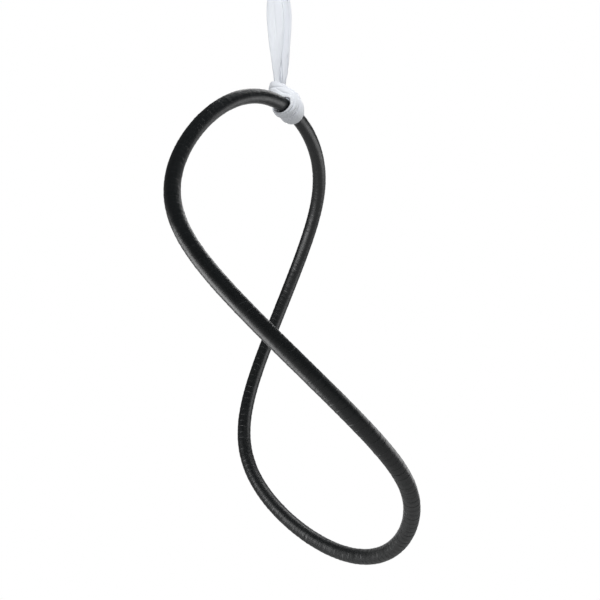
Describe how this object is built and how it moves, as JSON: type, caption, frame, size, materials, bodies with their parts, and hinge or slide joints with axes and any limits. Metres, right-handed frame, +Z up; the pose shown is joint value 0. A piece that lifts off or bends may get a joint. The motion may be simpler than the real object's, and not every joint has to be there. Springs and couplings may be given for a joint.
{
  "type": "aerial sphere",
  "caption": "Tape-wrapped steel loop bent into a saddle on a sphere, hung by a hitched fabric sling from a carabiner, ball-bearing swivel, second carabiner and ceiling plate.",
  "frame": {"origin": "middle of the ceiling plate's top face, which is bolted to the ceiling; the whole object hangs below z = 0", "axes": "+Z up out of the ceiling plate, +X to the right and +Y away as the picture sees the loop"},
  "size_m": [0.4166, 0.8747, 1.5415],
  "materials": {
    "tube_steel": "drawn steel tube under the tape",
    "weld_steel": "ground weld",
    "grip_tape": "matte black overlapped grip tape",
    "sling_fabric": "white fine-knit nylon, gathered",
    "satin_alloy": "satin forged",
    "dark_alloy": "dark anodised",
    "bright_steel": "bright steel",
    "plate_zinc": "zinc plated",
    "seal_rubber": "moulded"
  },
  "bodies": {
    "root": {"ceiling_plate": "plate_zinc", "ceiling_eye": "plate_zinc", "eye_weld_left": "weld_steel", "eye_weld_right": "weld_steel"},
    "upper_carabiner": {"upper_carabiner_body": "satin_alloy", "upper_carabiner_hinge_pin": "bright_steel"},
    "upper_gate": {"upper_carabiner_gate": "bright_steel", "upper_carabiner_lock_spring": "bright_steel"},
    "upper_lock_sleeve": {"upper_carabiner_lock_sleeve": "dark_alloy"},
    "lower_carabiner": {"lower_carabiner_body": "satin_alloy", "lower_carabiner_hinge_pin": "bright_steel"},
    "lower_gate": {"lower_carabiner_gate": "bright_steel", "lower_carabiner_lock_spring": "bright_steel"},
    "lower_lock_sleeve": {"lower_carabiner_lock_sleeve": "dark_alloy"},
    "swivel_housing": {"swivel_housing": "satin_alloy", "swivel_end_cap": "dark_alloy", "swivel_dust_seal": "seal_rubber", "bearing_lower_race": "bright_steel", "bearing_ball_1": "bright_steel", "bearing_ball_2": "bright_steel", "bearing_ball_3": "bright_steel", "bearing_ball_4": "bright_steel", "bearing_ball_5": "bright_steel", "bearing_ball_6": "bright_steel", "bearing_ball_7": "bright_steel", "bearing_ball_8": "bright_steel", "bearing_ball_9": "bright_steel"},
    "swivel_stem": {"swivel_stem": "satin_alloy", "swivel_nut": "bright_steel", "bearing_upper_race": "bright_steel"},
    "sling": {"sling": "sling_fabric"},
    "frame": {"tube_section_1": "tube_steel", "tube_section_2": "tube_steel", "tube_section_3": "tube_steel", "tube_section_4": "tube_steel", "joint_spigot_1": "tube_steel", "joint_spigot_2": "tube_steel", "joint_spigot_3": "tube_steel", "joint_spigot_4": "tube_steel", "weld_bead_1": "weld_steel", "weld_bead_2": "weld_steel", "weld_bead_3": "weld_steel", "weld_bead_4": "weld_steel", "grip_tape_1": "grip_tape", "grip_tape_2": "grip_tape", "grip_tape_3": "grip_tape", "grip_tape_4": "grip_tape"}
  },
  "joints": [
    {"name": "upper_carabiner_swing", "type": "hinge", "parent": "root", "child": "upper_carabiner", "pos_m": [0, 0, -0.0292], "axis": [0, 1, 0], "range_deg": [-30, 30]},
    {"name": "swivel_tilt", "type": "hinge", "parent": "upper_carabiner", "child": "swivel_housing", "pos_m": [0, 0, -0.1077], "axis": [1, 0, 0], "range_deg": [-20, 20]},
    {"name": "swivel_spin", "type": "hinge", "parent": "swivel_housing", "child": "swivel_stem", "pos_m": [0, 0, -0.1793], "axis": [0, 0, 1], "continuous": true},
    {"name": "lower_carabiner_swing", "type": "hinge", "parent": "swivel_stem", "child": "lower_carabiner", "pos_m": [0, 0, -0.2239], "axis": [1, 0, 0], "range_deg": [-15, 15]},
    {"name": "sling_swing", "type": "hinge", "parent": "lower_carabiner", "child": "sling", "pos_m": [0, 0, -0.3024], "axis": [0, 1, 0], "range_deg": [-15, 15]},
    {"name": "frame_rock", "type": "hinge", "parent": "sling", "child": "frame", "pos_m": [0.0135, 0, -0.6324], "axis": [-0.4681, -0.883, 0.0332], "range_deg": [-12, 12]},
    {"name": "upper_gate_hinge", "type": "hinge", "parent": "upper_carabiner", "child": "upper_gate", "pos_m": [0, 0.0185, -0.0992], "axis": [1, 0, 0], "range_deg": [0, 25], "stiffness_Nm_per_rad": 0.3, "springref_deg": -11.46},
    {"name": "upper_lock_turn", "type": "hinge", "parent": "upper_gate", "child": "upper_lock_sleeve", "pos_m": [0, 0.0185, -0.0777], "axis": [0, 0, 1], "range_deg": [0, 60], "stiffness_Nm_per_rad": 0.03, "springref_deg": -17.19},
    {"name": "lower_gate_hinge", "type": "hinge", "parent": "lower_carabiner", "child": "lower_gate", "pos_m": [0, 0.0185, -0.2754], "axis": [1, 0, 0], "range_deg": [0, 25], "stiffness_Nm_per_rad": 0.3, "springref_deg": -11.46},
    {"name": "lower_lock_turn", "type": "hinge", "parent": "lower_gate", "child": "lower_lock_sleeve", "pos_m": [0, 0.0185, -0.2539], "axis": [0, 0, 1], "range_deg": [0, 60], "stiffness_Nm_per_rad": 0.03, "springref_deg": -17.19}
  ]
}
